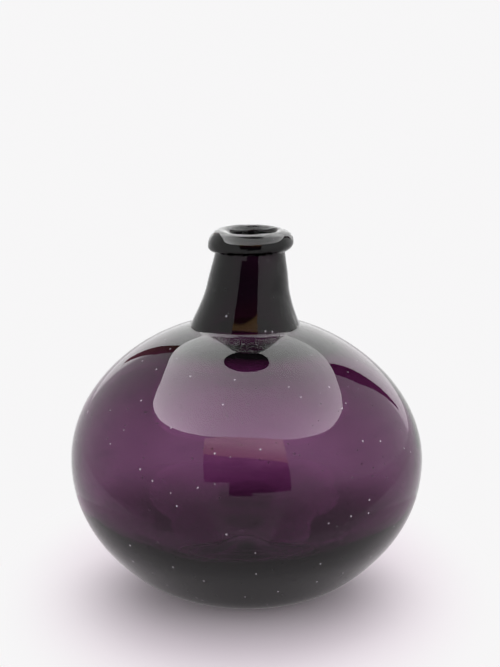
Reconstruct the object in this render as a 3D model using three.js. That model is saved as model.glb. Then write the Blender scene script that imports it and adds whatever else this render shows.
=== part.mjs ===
// A free-blown globular bottle of dark amethyst glass, open and empty, in the three gathers that
// it was made from: the blown vessel (bulb, shoulder and neck are one bubble), the ring laid round
// its mouth, and the broken ring that the glassmaker's iron left under the pushed-up base.
// Millimetres, +Z up. The origin is on the table, on the axis of the bulb.
import * as THREE from 'three';

// The bulb
const bodyRadius = 85; // outside, at its widest circle
const widestHeight = 65;
const shoulderRadius = 28.3; // where the round of the bulb turns into the neck
const shoulderHeight = 130;
const shoulderClimb = 16; // degrees, how steeply the surface rises there

// The neck
const neckFootRadius = 19.2; // where the turn ends and the long taper begins
const neckFootRise = 20.5; // above the shoulder
const neckFootTaper = 8.5; // degrees
const neckTopRadius = 16.4; // just under the lip ring
const neckTopRise = 16.6; // above the foot of the neck
const neckTopTaper = 5; // degrees

// Blown glass is never straight: the shoulder sits over to -X and the neck comes back to +X.
const shoulderLean = 0.9;
const neckLean = 2.8;

// How far each curve of the outside keeps its direction at its two ends, as a share of its span
const heelHold = [0.17, 0.66];
const bulbHold = [0.46, 0.54];
const turnHold = [0.19, 0.32];
const neckHold = [0.6, 0.3];

// The thickness of the glass. The bulb is blown thin between a heavy base and the thick gather
// of the neck.
const wallHeel = 9.5;
const wallWidest = 3;
const wallShoulder = 8;
const wallNeckFoot = 9;
const wallNeckTop = 8;
const wallKick = 9;
const heavyTo = 0.45; // share of the heel's curve that stays as thick as the base
const thinFrom = 0.85; // and where on it the wall is down to the bulb's
const gatherLateness = 3; // the wall thickens late on the way up the bulb

// The base: a flat worn ring to stand on, round a domed push-up
const standRadius = 34; // outside of the flat
const standWidth = 2.6;
const kickHeight = 14;

// The mouth
const boreRadius = 11; // where the bore opens out into the mouth
const boreShift = 1; // the bore sits off the middle of the rim, to +X
const mouthRounding = 3.2; // width of the melted corner between the bore and the rim
const mouthRoundingDepth = 3;
const mouthRoundingMost = 0.8; // of the rim's width, where the rim is thin

// The lip ring, laid on hot, uneven all the way round
const lipOverhang = 3.7; // beyond the neck
const lipUnderside = 3.1; // from its lowest circle up to its widest
const lipTopside = 6.6; // from its widest circle up to the rim
const lipSeatPinch = 1; // the neck is narrower by this much at the rim
const lipTilt = 2.4; // degrees, its +X side is the higher one
const lipSwell = 0.5; // it stands out further on its -X side

// The broken ring under the base
const scarInnerRadius = 8.5;
const scarOuterRadius = 13;
const scarDepth = 1.6;
const scarEdge = 0.5; // its depth at its two edges, as a share of the depth between them
const scarWaver = 0.5; // how much the depth changes round the ring
const scarChips = 3;

const gatherGap = 0.3; // between two gathers of glass

// Facets round the axis, and along a long and a short curve
const around = 56;
const long = 9;
const short = 4;

const neckFootHeight = shoulderHeight + neckFootRise;
const lipHeight = neckFootHeight + neckTopRise;
const lipWidestHeight = lipHeight + lipUnderside;
const mouthHeight = lipWidestHeight + lipTopside;
const lipRadius = neckTopRadius + lipOverhang;
const seatRadius = neckTopRadius - lipSeatPinch;
const rimWidth = seatRadius - boreRadius;
const crestRadius = boreRadius + Math.min(mouthRounding, mouthRoundingMost * rimWidth);
const kickRadius = standRadius - standWidth;

const { clamp, degToRad, lerp, smoothstep } = THREE.MathUtils;
const at = (radius, height) => new THREE.Vector2(radius, height);
const towards = (degrees) => at(Math.cos(degToRad(degrees)), Math.sin(degToRad(degrees)));

// A curve from a to b that sets off and arrives along two directions. hold is a share of span.
function sweep(a, setOff, b, arrive, hold, span) {
  return new THREE.CubicBezierCurve(
    a,
    a.clone().addScaledVector(setOff, hold[0] * span[0]),
    b.clone().addScaledVector(arrive, -hold[1] * span[1]),
    b,
  );
}

// The outside of the glass, from the standing ring up to the underside of the lip ring
const outward = towards(0);
const upward = towards(90);
const shoulderWay = towards(180 - shoulderClimb);
const neckFootWay = towards(90 + neckFootTaper);
const neckTopWay = towards(90 + neckTopTaper);
const stand = at(standRadius, 0);
const widest = at(bodyRadius, widestHeight);
const shoulder = at(shoulderRadius, shoulderHeight);
const neckFoot = at(neckFootRadius, neckFootHeight);
const neckTop = at(neckTopRadius, lipHeight);
const heelCurve = sweep(stand, outward, widest, upward, heelHold,
  [bodyRadius - standRadius, widestHeight]);
const bulbCurve = sweep(widest, upward, shoulder, shoulderWay, bulbHold,
  [shoulderHeight - widestHeight, bodyRadius - shoulderRadius]);
const turnCurve = sweep(shoulder, shoulderWay, neckFoot, neckFootWay, turnHold,
  [neckFootRise, neckFootRise]);
const neckCurve = sweep(neckFoot, neckFootWay, neckTop, neckTopWay, neckHold,
  [neckTopRise, neckTopRise]);

// How the wall goes from one thickness to the other along a curve, by the share of it passed
const evenly = (share) => share;
const pastHeel = (share) => smoothstep(share, heavyTo, thinFrom);
const late = (share) => share ** gatherLateness;

// The inside of one of those curves, from its end back to its start. The glass is wallFrom thick
// at the start and wallTo at the end.
function lining(curve, wallFrom, wallTo, divisions, change = evenly) {
  const points = [];
  for (let i = divisions; i >= 0; i--) {
    const share = i / divisions;
    const along = curve.getTangent(share);
    const inward = at(-along.y, along.x);
    const wall = lerp(wallFrom, wallTo, change(share));
    points.push(curve.getPoint(share).addScaledVector(inward, wall));
  }
  return points;
}

// The push-up is a cosine dome, outside and inside.
function domeHeight(radius, rimRadius, rimHeight, crownHeight) {
  return lerp(rimHeight, crownHeight, (1 + Math.cos(Math.PI * radius / rimRadius)) / 2);
}

const kickHeightAt = (radius) => domeHeight(radius, kickRadius, 0, kickHeight);

// A run of points between two radii, each at the height that a function gives
function run(fromRadius, toRadius, heightAt, divisions) {
  const points = [];
  for (let i = 0; i <= divisions; i++) {
    const radius = lerp(fromRadius, toRadius, i / divisions);
    points.push(at(radius, heightAt(radius)));
  }
  return points;
}

// Joins runs of points into one outline and writes each shared end once.
function outline(...runs) {
  const points = [];
  for (const part of runs) {
    const last = points[points.length - 1];
    const shared = last && last.distanceTo(part[0]) < 1e-6;
    points.push(...(shared ? part.slice(1) : part));
  }
  return points;
}

// Turns an outline round the Z axis, then lets shape(place, radius) move each point.
function turn(points, shape) {
  const geometry = new THREE.LatheGeometry(points, around).rotateX(Math.PI / 2);
  const position = geometry.getAttribute('position');
  const place = new THREE.Vector3();
  for (let i = 0; i < position.count; i++) {
    place.fromBufferAttribute(position, i);
    shape(place, Math.hypot(place.x, place.y));
    position.setXYZ(i, place.x, place.y, place.z);
  }
  return geometry;
}

// How far the glass has wandered sideways at a height
function lean(height) {
  const neck = smoothstep(height, shoulderHeight, mouthHeight);
  return neckLean * neck - shoulderLean * smoothstep(height, widestHeight, shoulderHeight);
}

// The top of the rim is a quarter ellipse from the ring's widest circle in to the crest. The
// vessel and the ring share it, and part at the seat.
const rimAngle = (radius) => Math.acos((radius - crestRadius) / (lipRadius - crestRadius));

function rimTop(fromAngle, toAngle, divisions) {
  const ellipse = new THREE.EllipseCurve(crestRadius, lipWidestHeight,
    lipRadius - crestRadius, lipTopside, fromAngle, toAngle);
  return ellipse.getPoints(divisions);
}

function blownVessel() {
  const mouthCorner = new THREE.EllipseCurve(crestRadius, mouthHeight - mouthRoundingDepth,
    crestRadius - boreRadius, mouthRoundingDepth, Math.PI / 2, Math.PI);
  const crownHeight = kickHeight + wallKick;
  const floorAt = (radius) => domeHeight(radius, standRadius, wallHeel, crownHeight);
  const points = outline(
    run(0, kickRadius, kickHeightAt, long),
    heelCurve.getPoints(long),
    bulbCurve.getPoints(long),
    turnCurve.getPoints(short),
    neckCurve.getPoints(short),
    rimTop(rimAngle(seatRadius), Math.PI / 2, short),
    mouthCorner.getPoints(short),
    lining(neckCurve, wallNeckFoot, wallNeckTop, short),
    lining(turnCurve, wallShoulder, wallNeckFoot, short),
    lining(bulbCurve, wallWidest, wallShoulder, long, late),
    lining(heelCurve, wallHeel, wallWidest, long, pastHeel),
    run(standRadius, 0, floorAt, long),
  );
  return turn(points, (place, radius) => {
    const inBore = clamp((crestRadius - radius) / (crestRadius - boreRadius), 0, 1);
    const upNeck = smoothstep(place.z, shoulderHeight, lipHeight);
    place.x += lean(place.z) + boreShift * inBore * upNeck;
  });
}

function lipRing() {
  const seatFoot = at(neckTopRadius + gatherGap, lipHeight);
  const underside = new THREE.EllipseCurve(seatFoot.x, lipWidestHeight,
    lipRadius - seatFoot.x, lipUnderside, -Math.PI / 2, 0);
  const topside = rimTop(0, rimAngle(seatRadius + gatherGap), long);
  const points = outline(underside.getPoints(short), topside, [seatFoot]);
  return turn(points, (place, radius) => {
    const proud = Math.max(radius - seatFoot.x, 0) / (lipRadius - seatFoot.x);
    const wander = lean(place.z) - lipSwell * proud;
    place.z += proud * place.x * Math.tan(degToRad(lipTilt));
    place.x += wander;
  });
}

function pontilScar() {
  const topAt = (radius) => kickHeightAt(radius) - gatherGap;
  const middle = (scarInnerRadius + scarOuterRadius) / 2;
  const halfWidth = (scarOuterRadius - scarInnerRadius) / 2;
  const depthAt = (radius) =>
    scarDepth * lerp(1, scarEdge, Math.abs(radius - middle) / halfWidth);
  const bottomAt = (radius) => topAt(radius) - depthAt(radius);
  const points = outline(
    run(scarInnerRadius, scarOuterRadius, bottomAt, 2),
    run(scarOuterRadius, scarInnerRadius, topAt, 2),
    [at(scarInnerRadius, bottomAt(scarInnerRadius))],
  );
  return turn(points, (place, radius) => {
    const share = (topAt(radius) - place.z) / scarDepth;
    const angle = Math.atan2(place.y, place.x);
    place.z -= share * scarWaver * (1 + Math.sin(scarChips * angle)) / 2;
  });
}

function glass(red, green, blue) {
  const color = new THREE.Color(red, green, blue);
  return new THREE.MeshStandardMaterial({ color, roughness: 0.05, metalness: 0 });
}

function piece(name, geometry, material) {
  const mesh = new THREE.Mesh(geometry, material);
  mesh.name = name;
  return mesh;
}

const bottle = new THREE.Group();
bottle.add(
  piece('blown_vessel', blownVessel(), glass(0.11, 0.05, 0.1)),
  piece('lip_ring', lipRing(), glass(0.07, 0.06, 0.07)),
  piece('pontil_scar', pontilScar(), glass(0.16, 0.1, 0.16)),
);

export default bottle;
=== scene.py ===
# A free-blown globular bottle of dark amethyst glass, standing in a white light tent.
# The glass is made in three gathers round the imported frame: the blown vessel, the ring laid
# round its mouth and the broken ring left under its base. Shapes are in millimetres, the
# tent is in metres.
from math import cos, hypot, pi, radians, sin, tan

import bmesh
import bpy
from mathutils import Matrix, Vector, noise
from mathutils.geometry import interpolate_bezier


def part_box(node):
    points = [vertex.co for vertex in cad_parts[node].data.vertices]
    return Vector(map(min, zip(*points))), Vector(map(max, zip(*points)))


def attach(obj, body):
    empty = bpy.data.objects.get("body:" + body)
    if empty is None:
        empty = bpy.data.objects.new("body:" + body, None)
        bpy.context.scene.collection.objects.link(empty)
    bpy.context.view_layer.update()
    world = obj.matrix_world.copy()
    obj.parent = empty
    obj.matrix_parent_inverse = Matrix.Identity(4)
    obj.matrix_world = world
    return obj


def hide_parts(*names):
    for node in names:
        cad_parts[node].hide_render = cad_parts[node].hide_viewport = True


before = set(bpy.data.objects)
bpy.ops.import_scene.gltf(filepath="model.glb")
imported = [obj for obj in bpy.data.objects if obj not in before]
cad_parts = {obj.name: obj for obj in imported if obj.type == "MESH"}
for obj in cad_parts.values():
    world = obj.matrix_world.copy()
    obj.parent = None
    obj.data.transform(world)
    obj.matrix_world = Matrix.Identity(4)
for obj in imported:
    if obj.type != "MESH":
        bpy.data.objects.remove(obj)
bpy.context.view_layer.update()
mm = 0.001
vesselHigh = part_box("blown_vessel")[1]
bodyRadius = vesselHigh.y / mm
mouthHeight = vesselHigh.z / mm
print("frame loaded")


cameraPlan = {
    "place": (0.0016, -0.9916, 0.3536),
    "lookDown": 12.91,  # degrees below level
    "lens": 114.6,
    "gamma": 0.85,  # under 1 keeps the dark glass dark
}


def setCamera():
    camera = bpy.data.objects.new("camera", bpy.data.cameras.new("camera"))
    bpy.context.scene.collection.objects.link(camera)
    camera.location = cameraPlan["place"]
    camera.rotation_euler = (radians(90 - cameraPlan["lookDown"]), 0, 0)
    camera.data.lens = cameraPlan["lens"]
    camera.data.clip_end = 50
    bpy.context.scene.camera = camera
    view = bpy.context.scene.view_settings
    view.view_transform = "Standard"
    view.gamma = cameraPlan["gamma"]
    cycles = bpy.context.scene.cycles
    cycles.use_denoising = True
    cycles.max_bounces = 24
    cycles.transmission_bounces = 20
    cycles.glossy_bounces = 8


setCamera()
print("camera set")


class Wire:  # a node's output, so that patterns can be written as sums
    def __init__(self, tree, socket=None):
        self.tree = tree
        self.socket = socket

    def make(self, kind, settings=(), inputs=(), output=0):
        node = self.tree.nodes.new(kind)
        for name, value in dict(settings).items():
            setattr(node, name, value)
        for name, value in dict(inputs).items():
            if isinstance(value, Wire):
                self.tree.links.new(value.socket, node.inputs[name])
            else:
                node.inputs[name].default_value = value
        return Wire(self.tree, node.outputs[output] if len(node.outputs) else None)

    def maths(self, operation, first, second):
        return self.make("ShaderNodeMath", {"operation": operation}, {0: first, 1: second})

    def __add__(self, other):
        return self.maths("ADD", self, other)

    __radd__ = __add__

    def __sub__(self, other):
        return self.maths("SUBTRACT", self, other)

    def __rsub__(self, other):
        return self.maths("SUBTRACT", other, self)

    def __mul__(self, other):
        return self.maths("MULTIPLY", self, other)

    __rmul__ = __mul__

    def __pow__(self, other):
        return self.maths("POWER", self, other)

    def rise(self, low, high):  # 0 below low, 1 above high, smooth between
        return self.make("ShaderNodeMapRange", {"interpolation_type": "SMOOTHSTEP"},
                         {"Value": self, "From Min": low, "From Max": high})

    def fall(self, low, high):
        return 1 - self.rise(low, high)

    def blend(self, first, second):  # first where the wire is 0, second where it is 1
        return self.make("ShaderNodeMix", {"data_type": "RGBA"},
                         {"Factor": self, 6: first, 7: second}, 2)

    def times(self, colour):  # the colour, made as strong as the wire says
        return self.make("ShaderNodeVectorMath", {"operation": "SCALE"},
                         {0: colour, "Scale": self})


def newMaterial(name):
    material = bpy.data.materials.new(name)
    material.use_nodes = True
    material.node_tree.nodes.clear()
    start = Wire(material.node_tree)
    place = start.make("ShaderNodeTexCoord", output="Object")
    return material, start, place


def stretched(start, place, scale):
    return start.make("ShaderNodeMapping", {"vector_type": "POINT"},
                      {"Vector": place, "Scale": scale})


def cloud(start, place, scale, detail=2.0):
    return start.make("ShaderNodeTexNoise", {},
                      {"Vector": place, "Scale": scale, "Detail": detail})


def speckle(start, place, scale):  # distance to the nearest of many scattered points
    return start.make("ShaderNodeTexVoronoi", {}, {"Vector": place, "Scale": scale}, "Distance")


def parts(start, place):
    return [start.make("ShaderNodeSeparateXYZ", {}, {0: place}, axis) for axis in range(3)]


amethyst = {
    "ior": 1.5,
    "hue": ((0.406, 0.042, 0.358, 1), 480),  # what is left after a long way, and how fast
    "lipHue": ((0.25, 0.2, 0.23, 1), 900),  # the ring is a thicker, greyer gather
    "clear": (1, 1, 1, 1),
    "cord": (0.93, 0.9, 0.94, 1),  # faint darker cords wound through the metal
    "cordScale": 42,
    "cordStretch": 5,
    "cordShare": (0.5, 0.72),
    "seedSpacing": 0.0075,
    "seedSize": (0.045, 0.09),  # of the spacing, where a seed bubble is whole and where it ends
    # the seeds' glints are painted: whitish matte specks of this strength
    "seedGlint": 0.5,
    "seedGlintWhite": (0.75, 0.7, 0.76, 1),
    "grit": (0.25, 0.15, 0.22, 1),  # specks of dark grit, like the bubbles but fewer
    "gritShare": 0.7,
    "wear": 0.4,  # roughness of the worn standing ring
    "wearHeight": (0.0002, 0.0012),
}


def glassMaterial(name, hue, ripple, polish):  # ripple is its size and its height, in metres
    material, start, place = newMaterial(name)
    passes, density = hue
    rippleSize, rippleHeight = ripple
    height = parts(start, place)[2]
    drawnOut = stretched(start, place, (1, 1, amethyst["cordStretch"]))
    cords = cloud(start, drawnOut, amethyst["cordScale"], 3).rise(*amethyst["cordShare"])
    tint = cords.blend(amethyst["clear"], amethyst["cord"])
    whole, edge = amethyst["seedSize"]
    seeds = speckle(start, place, 1 / amethyst["seedSpacing"]).fall(whole, edge)
    share = amethyst["gritShare"]
    grit = speckle(start, place, share / amethyst["seedSpacing"]).fall(whole * share, edge * share)
    tint = grit.blend(tint, amethyst["grit"])
    worn = height.fall(*amethyst["wearHeight"])
    roughness = polish + worn * amethyst["wear"]
    ripples = cloud(start, place, 1 / rippleSize, 1)
    bump = start.make("ShaderNodeBump", {}, {"Height": ripples, "Distance": rippleHeight,
                                             "Strength": 1.0})
    surface = start.make("ShaderNodeBsdfPrincipled", {}, {
        "Base Color": tint, "Roughness": roughness, "IOR": amethyst["ior"],
        "Transmission Weight": 1.0, "Normal": bump})
    # Painted glints: the seed bubbles are real, but each shows as a whitish matte speck mixed into the
    # glass, standing for the light its rim reflects.
    bubble = start.make("ShaderNodeBsdfDiffuse", {}, {"Color": amethyst["seedGlintWhite"]})
    both = start.make("ShaderNodeMixShader", {}, {0: seeds * amethyst["seedGlint"], 1: surface,
                                                  2: bubble})
    inside = start.make("ShaderNodeVolumeAbsorption", {}, {"Color": passes, "Density": density})
    start.make("ShaderNodeOutputMaterial", {}, {"Surface": both, "Volume": inside})
    return material


def ease(value, low, high):
    share = min(max((value - low) / (high - low), 0), 1)
    return share * share * (3 - 2 * share)


def lerp(a, b, share):
    return a + (b - a) * share


def heading(degrees):
    return Vector((cos(radians(degrees)), sin(radians(degrees))))


def sweep(start, setOff, end, arrive, pieces):  # setOff and arrive are (degrees, reach)
    return interpolate_bezier(start, start + heading(setOff[0]) * setOff[1],
                              end - heading(arrive[0]) * arrive[1], end, pieces + 1)


def lining(curves, walls):  # the inside of a run of curves, from its end back to its start
    points, thickness = [], []
    for curve, (wallFrom, wallTo, change) in zip(curves, walls):
        first = 1 if points else 0
        last = len(curve) - 1
        points += curve[first:]
        thickness += [lerp(wallFrom, wallTo, change(i / last)) for i in range(first, last + 1)]
    inside = []
    last = len(points) - 1
    for i in range(last, -1, -1):
        along = (points[min(i + 1, last)] - points[max(i - 1, 0)]).normalized()
        inside.append(points[i] + Vector((-along.y, along.x)) * thickness[i])
    return inside


def joined(*runs):
    points = list(runs[0])
    for run in runs[1:]:
        points += run[1:] if (run[0] - points[-1]).length < 1e-4 else run
    return points


def spun(points, steps, ring=False):  # turns an outline, a line of points in millimetres, round Z
    bm = bmesh.new()
    verts = [bm.verts.new((p.x * mm, 0, p.y * mm)) for p in points]
    for a, b in zip(verts, verts[1:] + verts[:1] if ring else verts[1:]):
        bm.edges.new((a, b))
    bmesh.ops.spin(bm, geom=bm.verts[:] + bm.edges[:], cent=(0, 0, 0), axis=(0, 0, 1),
                   dvec=(0, 0, 0), angle=2 * pi, steps=steps, use_merge=True)
    bmesh.ops.remove_doubles(bm, verts=bm.verts[:], dist=1e-7)
    bmesh.ops.recalc_face_normals(bm, faces=bm.faces[:])
    bm.normal_update()
    return bm


def finishPiece(bm, name, node, material):
    mesh = bpy.data.meshes.new(name)
    bm.to_mesh(mesh)
    bm.free()
    mesh.shade_smooth()
    mesh.materials.append(material)
    piece = bpy.data.objects.new(name, mesh)
    bpy.context.scene.collection.objects.link(piece)
    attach(piece, "root")
    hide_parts(node)
    return piece


vessel = {
    "widestHeight": 65,
    "shoulder": (28.3, 130),  # radius and height where the bulb turns into the neck
    "shoulderClimb": 164,  # degrees, the way the outside runs there
    "corner": (25.1, 133.2),  # the end of the tight turn between the shoulder and the neck
    "cornerWay": 113,
    "neckFoot": (19.5, 150.5),
    "neckFootWay": 98.5,
    "neckTop": (16.6, 167.1),
    "neckTopWay": 95,
    "rim": (12.6, 174.2),  # the end of the bubble, inside the ring of the lip
    "stand": 34,
    "standWidth": 2.6,
    "heelHold": (0.17, 0.66),  # how far each curve keeps its way at its two ends, a share of its span
    "bulbHold": (0.46, 0.54),
    "turnHold": (0.3, 0.34),
    "neckHold": (0.6, 0.3),
    "cornerReach": (3.0, 2.2),
    "kick": 14,
    "kickWall": 9,
    "heelWall": 9.5,
    "heavyTo": 0.45,  # share of the heel's curve that stays as thick as the base
    "thinFrom": 0.85,  # and where on it the wall is down to the bulb's
    "bulbWall": 3,
    "shoulderWall": 8,
    "neckFootWall": 9,
    "neckTopWall": 7.2,
    "lateness": 3,
    "shoulderLean": 0.9,
    "neckLean": 2.8,
    "leanBelow": 8,  # the neck's lean begins this far under the shoulder
    "boreShift": 1,
    "steps": 176,
    "outerWave": 0.1,  # how far the blown surface strays
    "outerWaveSize": 38,
    "innerWave": 0.3,
    "innerWaveSize": 24,
    "fineWave": 0.3,  # a second, finer wave, as a share of the first
    "fineWaveScale": 2.3,
    "stillBelow": 8,  # the outside strays less under this height, so that it stands flat
    "ripple": (0.02, 0.00004),
    "polish": 0,
}


def lean(height):  # how far the glass has wandered sideways at a height
    neck = ease(height, vessel["shoulder"][1] - vessel["leanBelow"], mouthHeight)
    bulb = ease(height, vessel["widestHeight"], vessel["shoulder"][1])
    return vessel["neckLean"] * neck - vessel["shoulderLean"] * bulb


def vesselCurves():
    v = vessel
    stand = Vector((v["stand"], 0))
    widest = Vector((bodyRadius, v["widestHeight"]))
    shoulder = Vector(v["shoulder"])
    corner = Vector(v["corner"])
    foot = Vector(v["neckFoot"])
    top = Vector(v["neckTop"])
    climb, cornerWay, footWay, topWay = [
        v[key] for key in ("shoulderClimb", "cornerWay", "neckFootWay", "neckTopWay")]
    heelHold, bulbHold, turnHold, neckHold = [
        v[key] for key in ("heelHold", "bulbHold", "turnHold", "neckHold")]
    tight = v["cornerReach"]
    turnRise = foot.y - corner.y
    neckRise = top.y - foot.y
    return (
        sweep(stand, (0, heelHold[0] * (widest.x - stand.x)), widest, (90, heelHold[1] * widest.y), 44),
        sweep(widest, (90, bulbHold[0] * (shoulder.y - widest.y)), shoulder,
              (climb, bulbHold[1] * (widest.x - shoulder.x)), 52),
        sweep(shoulder, (climb, tight[0]), corner, (cornerWay, tight[1]), 12),
        sweep(corner, (cornerWay, turnHold[0] * turnRise), foot, (footWay, turnHold[1] * turnRise), 20),
        sweep(foot, (footWay, neckHold[0] * neckRise), top, (topWay, neckHold[1] * neckRise), 14),
    )


def vesselOutline():
    v = vessel
    heel, bulb, corner, turn, neck = vesselCurves()
    kickEdge = Vector((v["stand"] - v["standWidth"], 0))
    domeHold = 0.364  # makes the push-up a smooth wave
    under = sweep(Vector((0, v["kick"])), (0, domeHold * kickEdge.x), kickEdge,
                  (0, domeHold * kickEdge.x), 26)
    rim = Vector(v["rim"])
    end = sweep(neck[-1], (v["neckTopWay"], 4), rim, (180, 2), 10)

    def evenly(share):
        return share

    def pastHeel(share):
        return ease(share, v["heavyTo"], v["thinFrom"])

    def late(share):
        return share ** v["lateness"]

    inside = lining((heel, bulb, corner, turn, neck), (
        (v["heelWall"], v["bulbWall"], pastHeel),
        (v["bulbWall"], v["shoulderWall"], late),
        (v["shoulderWall"], v["shoulderWall"], evenly),
        (v["shoulderWall"], v["neckFootWall"], evenly),
        (v["neckFootWall"], v["neckTopWall"], evenly)))
    throat = sweep(rim, (180, 1.6), inside[0], (266, 3), 10)
    crown = Vector((0, v["kick"] + v["kickWall"]))
    floor = sweep(inside[-1], (180, domeHold * v["stand"]), crown, (180, domeHold * v["stand"]), 26)
    return joined(under, heel, bulb, corner, turn, neck, end, throat, inside, floor)


def strayGlass(bm, middle):  # lets the turned surface wander as blown glass does
    v = vessel
    for vert in bm.verts:
        height = vert.co.z / mm
        isInside = vert.normal.dot(vert.co - middle) < 0
        wave = v["innerWave"] if isInside else v["outerWave"]
        spot = vert.co / ((v["innerWaveSize"] if isInside else v["outerWaveSize"]) * mm)
        finer = noise.noise(spot * v["fineWaveScale"] + Vector((7, 1, 3)))
        stray = wave * (noise.noise(spot) + v["fineWave"] * finer)
        stray *= 1 if isInside else ease(height, 0, v["stillBelow"])
        vert.co += vert.normal * stray * mm
        vert.co.x += lean(height) * mm
        if isInside:
            vert.co.x += v["boreShift"] * ease(height, v["shoulder"][1], v["neckTop"][1]) * mm


def makeVessel():
    bm = spun(vesselOutline(), vessel["steps"])
    strayGlass(bm, Vector((0, 0, vessel["widestHeight"] * mm)))
    material = glassMaterial("amethyst_glass", amethyst["hue"], vessel["ripple"], vessel["polish"])
    return finishPiece(bm, "vessel_glass", "blown_vessel", material)


makeVessel()
print("vessel blown")


lip = {
    "seat": (15.4, 166.6),  # where its section starts, inside the neck
    "foot": (16.7, 167.1),
    "widest": (20.4, 170.0),
    "crest": 14.2,
    "corner": (11, 173.8),  # where the melted corner meets the bore
    "skirt": (8.9, 167.4),  # the end of its skin inside the bore
    "tilt": 2.4,  # degrees, the +X side is higher
    "shift": 0.15,  # it was laid on a little to the +X side
    "wave": 0.16,
    "waveSize": 9,
    "steps": 160,
    "ripple": (0.006, 0.00005),
    "polish": 0.01,
}


def lipOutline():
    seat, foot, widest = Vector(lip["seat"]), Vector(lip["foot"]), Vector(lip["widest"])
    crest = Vector((lip["crest"], mouthHeight))
    corner, skirt = Vector(lip["corner"]), Vector(lip["skirt"])
    quarter = 0.552  # the reach that makes a quarter of a circle
    under = sweep(foot, (0, quarter * (widest.x - foot.x)), widest,
                  (90, quarter * (widest.y - foot.y)), 12)
    over = sweep(widest, (90, quarter * (crest.y - widest.y)), crest,
                 (180, quarter * (widest.x - crest.x)), 26)
    inward = sweep(crest, (180, quarter * (crest.x - corner.x)), corner,
                   (270, quarter * (crest.y - corner.y)), 12)
    bore = sweep(corner, (270, 2.4), skirt, (262, 2), 12)
    back = Vector((skirt.x + 2, skirt.y))
    return joined(under, over, inward, bore, [back, seat])


def makeLip():
    bm = spun(lipOutline(), lip["steps"], ring=True)
    foot, widest = Vector(lip["foot"]), Vector(lip["widest"])
    for vert in bm.verts:
        radius = hypot(vert.co.x, vert.co.y) / mm
        height = vert.co.z / mm
        proud = min(max((radius - foot.x) / (widest.x - foot.x), 0), 1)
        inBore = min(max((lip["crest"] - radius) / (lip["crest"] - lip["corner"][0]), 0), 1)
        isHidden = radius < foot.x and height < foot.y + 0.2
        stray = 0 if isHidden else noise.noise(vert.co / (lip["waveSize"] * mm)) * lip["wave"]
        vert.co += vert.normal * stray * mm
        vert.co.z += proud * vert.co.x * tan(radians(lip["tilt"]))
        vert.co.x += (lean(height) + vessel["boreShift"] * inBore + lip["shift"] * proud) * mm
    material = glassMaterial("lip_glass", amethyst["lipHue"], lip["ripple"], lip["polish"])
    ring = finishPiece(bm, "lip_ring_glass", "lip_ring", material)
    ring.visible_glossy = False  # its own reflection doesn't show in the shoulder
    return ring


makeLip()
print("lip laid on")


scar = {
    "inner": 8.5,
    "outer": 13,
    "depth": 1.6,
    "edge": 0.5,  # its depth at its two edges, as a share of the depth between them
    "sunk": 0.1,  # its root is this far inside the glass of the push-up
    "ragged": 0.45,
    "chipSize": 2.2,
    "grain": 0.4,  # finer chips, as a share of the first
    "grainSize": 0.8,
    "steps": 96,
    "ripple": (0.002, 0.0001),
    "polish": 0.12,
}


def makeScar():
    kickEdge = vessel["stand"] - vessel["standWidth"]

    def rootAt(radius):
        return vessel["kick"] * (1 + cos(pi * radius / kickEdge)) / 2 - scar["sunk"]

    middle = (scar["inner"] + scar["outer"]) / 2
    ends = [Vector((r, rootAt(r))) for r in (scar["inner"], middle, scar["outer"])]
    deep = [p - Vector((0, scar["depth"] * d)) for p, d in zip(ends, (scar["edge"], 1, scar["edge"]))]
    bm = spun(deep + ends[::-1], scar["steps"], ring=True)
    bmesh.ops.subdivide_edges(bm, edges=bm.edges[:], cuts=1, use_grid_fill=True)
    bm.normal_update()
    for vert in bm.verts:
        radius = hypot(vert.co.x, vert.co.y) / mm
        depth = rootAt(radius) - vert.co.z / mm
        if depth > 0.3:
            vert.co.z -= noise.noise(vert.co / (scar["chipSize"] * mm)) * scar["ragged"] * mm
            finer = noise.noise(vert.co / (scar["grainSize"] * mm))
            vert.co.z -= finer * scar["ragged"] * scar["grain"] * mm
    material = glassMaterial("scar_glass", amethyst["hue"], scar["ripple"], scar["polish"])
    return finishPiece(bm, "pontil_scar_glass", "pontil_scar", material)


makeScar()
print("scar left")


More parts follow.
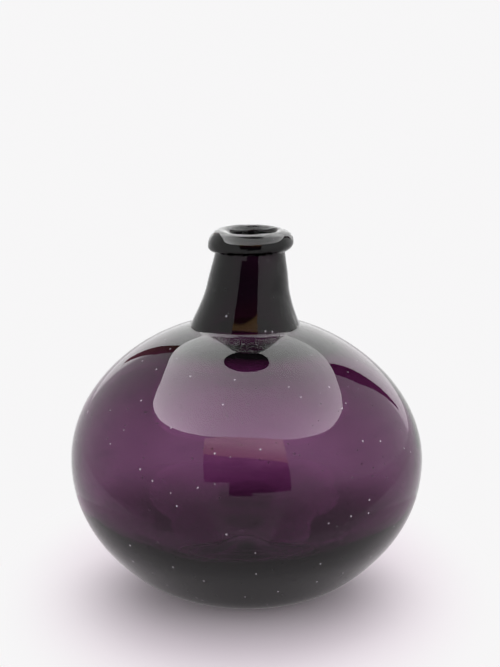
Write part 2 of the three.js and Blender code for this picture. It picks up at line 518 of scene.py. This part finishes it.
tent = {
    "floorSize": 9,
    # the matte paper shows only near the bottle; it is darker and pinker than the sheet, which deepens
    # the painted shadow there
    "floorShadedPaper": (0.8, 0.73, 0.79, 1),
    "floorPaintedGlassTint": (0.94, 0.87, 0.91, 1),  # painted tint of the light that comes through the glass
    "floorFar": (0.94, 0.935, 0.94, 1),
    "floorPaintedGlowReach": (0.07, 0.2),  # how far out the sheet's painted glow begins to brighten, and is full bright; nearer in, the bottle's shadow is painted
    "floorLeast": 0.12,
    "floorOval": 1.6,  # the painted shadow and tint patch is this much longer than it is wide
    "walls": 0.93,
    "rightLift": 0.2,  # the right wall is brighter than the left
    "backGlow": 0.62,  # the back wall is the brightest, most of all high up
    "backRise": 1.25,
    "backWay": (0.12, 0.99),
    "backEdge": (0.81, 0.85),
    "panelHeight": 0.4,
    "panelKnots": [(0.015, -0.33), (0.3, -0.262), (0.383, -0.1), (0.29, 0.15), (0.14, 0.345),
                   (-0.14, 0.35), (-0.25, 0.12), (-0.355, -0.06), (-0.26, -0.255)],
    "panelGlow": 3.15,
    "panelRise": 25,  # how fast it brightens towards its sides
    "panelMiddle": 0.05,
    "hole": (0.003, 0.062),
    "holeRadius": 0.057,
    "gapAhead": 1.5,
    "gapOutline": [(-1.0, 1.85), (-0.88, 1.15), (-0.74, 0.33), (-0.28, 0.33), (-0.28, 0.001),
                   (0.085, 0.001), (0.085, 0.09), (0.77, 0.09), (0.8, 0.9), (0.9, 1.85)],
    "gapGlow": ((0.08, 0.07, 0.09, 1), (0.2, 0.07, 0.09, 1)),
    "gapRise": 0.4,
    "gapHead": 1.02,  # the gap is dark below its head and pale above it
    "headSlope": 0.155,
    "headSoft": 0.03,
    "headGlow": ((1.3, 0.8, 0.4, 1), (2.5, 2.1, 1.7, 1)),
    "headFade": 0.6,
    "edgeNear": 0.121,  # the front edge of the white sheet, which curves away to the sides
    "edgeCurve": 1.6,
    "edgeSide": 0.715,
    "frontLift": 0.0006,
    "frontTint": (1, 0.98, 0.98, 1),
    "frontGlow": 0.88,
    "flankPaintedShadow": 0.22,  # painted shadow: the front is dimmer on either side of a strip
    "flankShadowFade": (0.16, 0.5),
    "stripTip": 0.083,
    "stripSpread": 0.56,
    "stripEdge": (-0.002, 0.004),
    "nearSize": 0.17,
    "nearLift": 0.0003,
    "nearTint": (1, 0.94, 0.98, 1),
    # the near disc's glow, least at the bottle: a painted contact shadow
    "nearShadedGlow": (0.28, 0.83),
    "nearShadowEdge": (0.042, 0.075),
    "seamAway": 4,
    "seamBase": 0.12,
    "leftSeam": [(-158.5, 9), (-156.5, 9), (-150, 30), (-150.5, 42), (-156.5, 42), (-156.5, 30)],
    "rightSeam": [(141, 6), (142, 6), (142.5, 30), (142, 42), (132, 42), (132.5, 30)],
    "leftSeamGlow": (0.3, 0.14, 0.13, 1),
    "rightSeamGlow": (0.1, 0.03, 0.05, 1),
}


def stageObject(name, bm, material, cameraSees=False, passesThrough=False):
    mesh = bpy.data.meshes.new(name)
    bm.to_mesh(mesh)
    bm.free()
    mesh.materials.append(material)
    thing = bpy.data.objects.new(name, mesh)
    bpy.context.scene.collection.objects.link(thing)
    if not cameraSees:
        thing.visible_camera = False
        thing.visible_diffuse = False
        thing.visible_shadow = False
        thing.visible_volume_scatter = False
        thing.visible_transmission = passesThrough
    return thing


def glowMaterial(name, colour):  # colour is a colour, or a function that draws one
    material, start, place = newMaterial(name)
    if callable(colour):
        colour = colour(start, place)
    glow = start.make("ShaderNodeEmission", {}, {"Color": colour, "Strength": 1.0})
    start.make("ShaderNodeOutputMaterial", {}, {"Surface": glow})
    return material


def cardOf(corners):
    bm = bmesh.new()
    bm.faces.new([bm.verts.new(corner) for corner in corners])
    return bm


def makeFloor():
    material, start, place = newMaterial("sheet_white_painted_shadow")
    x, y = parts(start, place)[:2]
    away = (tent["floorOval"] ** 2 * (x * x) + y * y) ** 0.5
    # Painted shadow and tint: the sheet glows evenly far out, but the glow fades in towards the bottle.
    # That leaves the darker paper as a painted shadow, and the glow left near the bottle carries a
    # painted purple tint.
    far = away.rise(*tent["floorPaintedGlowReach"])
    matte = start.make("ShaderNodeBsdfDiffuse", {}, {"Color": tent["floorShadedPaper"]})
    tint = far.blend(tent["floorPaintedGlassTint"], tent["floorFar"])
    glow = start.make("ShaderNodeEmission", {}, {"Color": tint, "Strength": 1.0})
    share = tent["floorLeast"] + (1 - tent["floorLeast"]) * far
    both = start.make("ShaderNodeMixShader", {}, {0: share, 1: matte, 2: glow})
    start.make("ShaderNodeOutputMaterial", {}, {"Surface": both})
    bm = bmesh.new()
    bmesh.ops.create_circle(bm, cap_ends=True, segments=96, radius=tent["floorSize"])
    stageObject("floor", bm, material, cameraSees=True)


def makeWalls():
    world = bpy.data.worlds.new("tent_walls")
    bpy.context.scene.world = world
    world.use_nodes = True
    world.node_tree.nodes.clear()
    start = Wire(world.node_tree)
    way = start.make("ShaderNodeTexCoord", output="Generated")
    x, y, z = parts(start, way)
    backX, backY = tent["backWay"]
    behind = (backX * x + backY * y) * (x * x + y * y + 0.0001) ** -0.5
    back = behind.rise(*tent["backEdge"]) * (tent["backGlow"] + tent["backRise"] * z)
    sides = tent["walls"] + tent["rightLift"] * x.rise(0, 0.8)
    white = (sides + back).times((1, 1, 1))
    glow = start.make("ShaderNodeBackground", {}, {"Color": white, "Strength": 1.0})
    start.make("ShaderNodeOutputWorld", {}, {"Surface": glow})


def makePanel():
    curve = bpy.data.curves.new("top_panel", "CURVE")
    curve.dimensions = "2D"
    curve.fill_mode = "BOTH"
    edge = curve.splines.new("BEZIER")
    edge.bezier_points.add(len(tent["panelKnots"]) - 1)
    hole = curve.splines.new("BEZIER")
    hole.bezier_points.add(3)
    holeX, holeY = tent["hole"]
    around = [(holeX + tent["holeRadius"] * cos(a), holeY + tent["holeRadius"] * sin(a))
              for a in (0, pi / 2, pi, 3 * pi / 2)]
    for spline, knots in ((edge, tent["panelKnots"]), (hole, around)):
        spline.use_cyclic_u = True
        spline.resolution_u = 16
        for knot, spot in zip(spline.bezier_points, knots):
            knot.co = (*spot, 0)
            knot.handle_left_type = knot.handle_right_type = "AUTO"
    drawn = bpy.data.objects.new("panel_outline", curve)
    bpy.context.scene.collection.objects.link(drawn)
    bm = bmesh.new()
    bm.from_mesh(drawn.to_mesh())
    bpy.data.objects.remove(drawn)
    bmesh.ops.translate(bm, verts=bm.verts[:], vec=(0, 0, tent["panelHeight"]))

    def light(start, place):
        x = parts(start, place)[0] - tent["panelMiddle"]
        return (tent["panelGlow"] + tent["panelRise"] * (x * x)).times((1, 1, 1))

    stageObject("top_panel", bm, glowMaterial("panel_glow", light), passesThrough=True)
    bm = bmesh.new()
    bmesh.ops.create_circle(bm, cap_ends=True, segments=48, radius=tent["holeRadius"] * 1.15,
                            matrix=Matrix.Translation((holeX, holeY, tent["panelHeight"] + 0.003)))
    stageObject("panel_hole", bm, glowMaterial("hole_dark", (0.1, 0.09, 0.1, 1)), passesThrough=True)


def makeGap():
    head, soft = tent["gapHead"], tent["headSoft"]

    def light(start, place):
        x, y, z = parts(start, place)
        level = z + tent["headSlope"] * x
        header = level.rise(head, head + tent["headFade"]).blend(*tent["headGlow"])
        dark = level.rise(tent["gapRise"], head).blend(*tent["gapGlow"])
        return level.rise(head - soft, head + soft).blend(dark, header)

    corners = [(x, -tent["gapAhead"], z) for x, z in tent["gapOutline"]]
    stageObject("front_gap", cardOf(corners), glowMaterial("gap_dark", light))


def makeFrontFloor():
    side, level = tent["edgeSide"], tent["frontLift"]
    steps = 22
    spots = [side * (2 * i / steps - 1) for i in range(steps + 1)]
    edge = [(x, -tent["edgeNear"] + tent["edgeCurve"] * x * x, level) for x in spots]
    corners = edge + [(side, -tent["gapAhead"], level), (-side, -tent["gapAhead"], level)]

    def light(start, place):
        x, y = parts(start, place)[:2]
        away = (x * x + y * y) ** 0.5
        ahead = tent["stripSpread"] * (y + tent["stripTip"])
        across = start.maths("ABSOLUTE", x, 0.0) + ahead  # below 0 in the strip
        # painted shadow on the front floor, on either side of the strip, fading with distance
        shadedFlank = across.rise(*tent["stripEdge"]) * away.fall(*tent["flankShadowFade"])
        return (tent["frontGlow"] - tent["flankPaintedShadow"] * shadedFlank).times(tent["frontTint"][:3])

    stageObject("front_floor", cardOf(corners), glowMaterial("front_floor_painted_shadow", light))


def makeNearFloor():  # what the underside of the bulb reflects
    # Painted shadow: the disc's glow falls towards the bottle, standing for the shaded floor beneath
    # it.
    least, most = tent["nearShadedGlow"]

    def light(start, place):
        x, y = parts(start, place)[:2]
        pastPaintedShadow = ((x * x + y * y) ** 0.5).rise(*tent["nearShadowEdge"])
        return (least + (most - least) * pastPaintedShadow).times(tent["nearTint"][:3])

    bm = bmesh.new()
    bmesh.ops.create_circle(bm, cap_ends=True, segments=64, radius=tent["nearSize"],
                            matrix=Matrix.Translation((0, 0, tent["nearLift"])))
    stageObject("near_floor", bm, glowMaterial("near_floor_painted_shadow", light))


def makeSeams():  # where the side walls of the tent meet its back
    def spot(azimuth, elevation):
        away = tent["seamAway"]
        return (away * sin(radians(azimuth)), -away * cos(radians(azimuth)),
                tent["seamBase"] + away * tan(radians(elevation)))

    for side in ("left", "right"):
        card = cardOf([spot(*corner) for corner in tent[side + "Seam"]])
        stageObject(side + "_seam", card, glowMaterial(side + "_seam_dark", tent[side + "SeamGlow"]))


makeFloor()
makeWalls()
makePanel()
makeGap()
makeFrontFloor()
makeNearFloor()
makeSeams()
print("tent put up")
